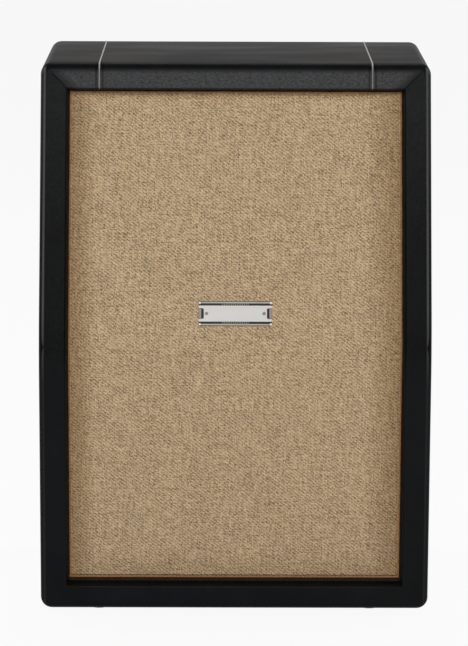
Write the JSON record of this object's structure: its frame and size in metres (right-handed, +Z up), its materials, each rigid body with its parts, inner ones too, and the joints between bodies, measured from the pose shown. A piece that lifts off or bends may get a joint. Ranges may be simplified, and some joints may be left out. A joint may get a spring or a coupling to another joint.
{
  "type": "guitar speaker cabinet",
  "caption": "Tall guitar speaker cabinet with a leaning upper front, woven tan grille, black leathercloth shell, pale piping over the top, side handles and stacked speakers inside.",
  "frame": {"origin": "middle of the footprint, on the ground under the feet", "axes": "+Z up, the grille faces -Y, +X is to the right as seen from the front"},
  "size_m": [0.5198, 0.3462, 0.7372],
  "materials": {
    "ply": "raw birch ply",
    "leathercloth": "black grained leathercloth",
    "pale_piping": "satin",
    "grille_weave": "tan woven cloth",
    "rolled_edge": "gold-brown cord",
    "badge_metal": "brushed",
    "bright_screws": "zinc plated",
    "plate_steel": "black powder coat",
    "jack_body": "black moulding with a metal neck",
    "bright_nut": "nickel",
    "lead_cover": "insulated wire",
    "handle_steel": "black powder coat",
    "handle_grip": "plated bar",
    "foot_rubber": "moulded",
    "gasket_fibre": "felted fibre",
    "basket_paint": "black paint",
    "cone_paper": "pressed paper pulp",
    "flex_cloth": "treated cloth",
    "coil_wire": "enamelled wire on a former",
    "magnet_ferrite": "ferrite",
    "pole_steel": "zinc plated",
    "strip_board": "phenolic board"
  },
  "bodies": {
    "cabinet": {"top_panel": "ply", "bottom_panel": "ply", "left_side_panel": "ply", "right_side_panel": "ply", "front_top_rail": "ply", "front_bottom_rail": "ply", "left_front_stile": "ply", "right_front_stile": "ply", "lower_baffle": "ply", "upper_baffle": "ply", "baffle_cleats": "ply", "back_cleats": "ply", "back_panel": "ply", "wrap_covering": "leathercloth", "top_covering": "leathercloth", "back_covering": "leathercloth", "left_piping": "pale_piping", "right_piping": "pale_piping", "grille_cloth": "grille_weave", "grille_piping": "rolled_edge", "badge_plate": "badge_metal", "badge_screws": "bright_screws", "back_screws": "bright_screws", "jack_plate_screws": "bright_screws", "handle_screws": "bright_screws", "foot_screws": "bright_screws", "speaker_bolts": "bright_screws", "speaker_nuts": "bright_screws", "jack_plate": "plate_steel", "input_jack": "jack_body", "jack_nut": "bright_nut", "jack_leads": "lead_cover", "link_leads": "lead_cover", "left_handle_dish": "handle_steel", "right_handle_dish": "handle_steel", "left_handle_bar": "handle_grip", "right_handle_bar": "handle_grip", "rubber_feet": "foot_rubber", "lower_gasket": "gasket_fibre", "upper_gasket": "gasket_fibre", "lower_basket": "basket_paint", "upper_basket": "basket_paint", "lower_surround": "flex_cloth", "upper_surround": "flex_cloth", "lower_spider": "flex_cloth", "upper_spider": "flex_cloth", "lower_magnet": "magnet_ferrite", "upper_magnet": "magnet_ferrite", "lower_front_plate": "pole_steel", "upper_front_plate": "pole_steel", "lower_back_plate": "pole_steel", "upper_back_plate": "pole_steel", "lower_terminal_strip": "strip_board", "upper_terminal_strip": "strip_board"},
    "lower_cone_unit": {"lower_cone": "cone_paper", "lower_dust_cap": "cone_paper", "lower_voice_coil": "coil_wire"},
    "upper_cone_unit": {"upper_cone": "cone_paper", "upper_dust_cap": "cone_paper", "upper_voice_coil": "coil_wire"}
  },
  "joints": [
    {"name": "lower_cone_travel", "type": "slide", "parent": "cabinet", "child": "lower_cone_unit", "axis": [0, -1, 0], "range_m": [-0.003, 0.003], "stiffness_N_per_m": 6700, "deforming": ["lower_surround", "lower_spider"]},
    {"name": "upper_cone_travel", "type": "slide", "parent": "cabinet", "child": "upper_cone_unit", "axis": [0, -0.9638, 0.2665], "range_m": [-0.003, 0.003], "stiffness_N_per_m": 6700, "deforming": ["upper_surround", "upper_spider"]}
  ]
}
